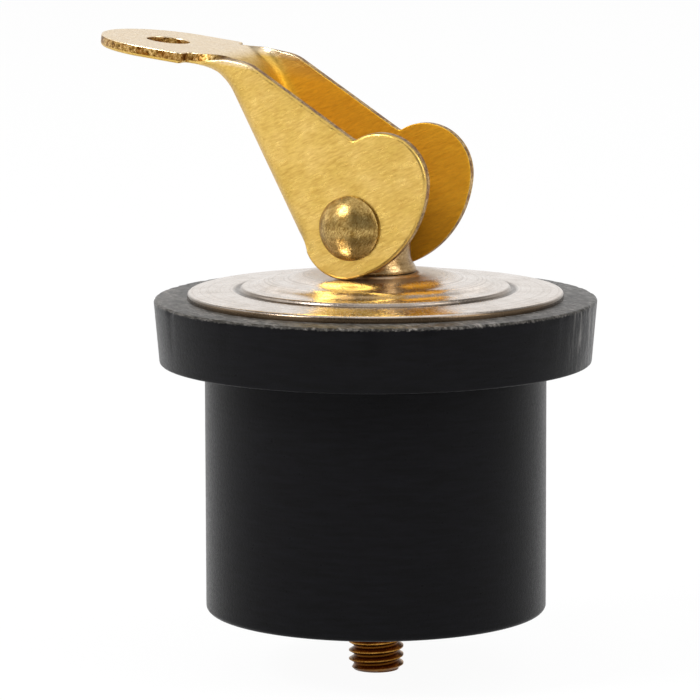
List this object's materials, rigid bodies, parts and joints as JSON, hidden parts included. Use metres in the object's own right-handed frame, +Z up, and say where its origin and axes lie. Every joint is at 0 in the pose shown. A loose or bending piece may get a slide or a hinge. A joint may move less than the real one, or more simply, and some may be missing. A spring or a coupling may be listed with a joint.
{
  "type": "expanding drain plug",
  "caption": "Rubber top-hat plug squeezed by a cam lever on a bolt through a stepped metal plate, so that its barrel swells and seals a boat's drain tube.",
  "frame": {"origin": "on the barrel's axis, in the plane of the flange's underside", "axes": "+Z up the barrel's axis to the lever, +Y along the pivot rivet, and the open lever leans towards -X"},
  "size_m": [0.0471, 0.0402, 0.0576],
  "materials": {
    "plug_rubber": "matte",
    "turned_brass": "satin",
    "plated_steel": "satin",
    "sheet_brass": "polished"
  },
  "bodies": {
    "plug": {"rubber_plug": "plug_rubber", "pressure_plate": "plated_steel"},
    "nut": {"anchor_nut": "turned_brass"},
    "stem": {"eye_bolt": "turned_brass"},
    "lever": {"lever": "sheet_brass", "pivot_rivet": "turned_brass"}
  },
  "joints": [
    {"name": "nut_lift", "type": "slide", "parent": "plug", "child": "nut", "axis": [0, 0, 1], "range_m": [0, 0.0054], "deforming": ["rubber_plug"]},
    {"name": "stem_turn", "type": "hinge", "parent": "nut", "child": "stem", "pos_m": [0, 0, 0], "axis": [0, 0, 1], "continuous": true},
    {"name": "lever_pivot", "type": "hinge", "parent": "stem", "child": "lever", "pos_m": [0, 0, 0.01269], "axis": [0, 1, 0], "range_deg": [0, 147]}
  ],
  "couplings": [
    {"joint": "lever_pivot", "follows": "nut_lift", "rad_per_m": 475.1}
  ]
}
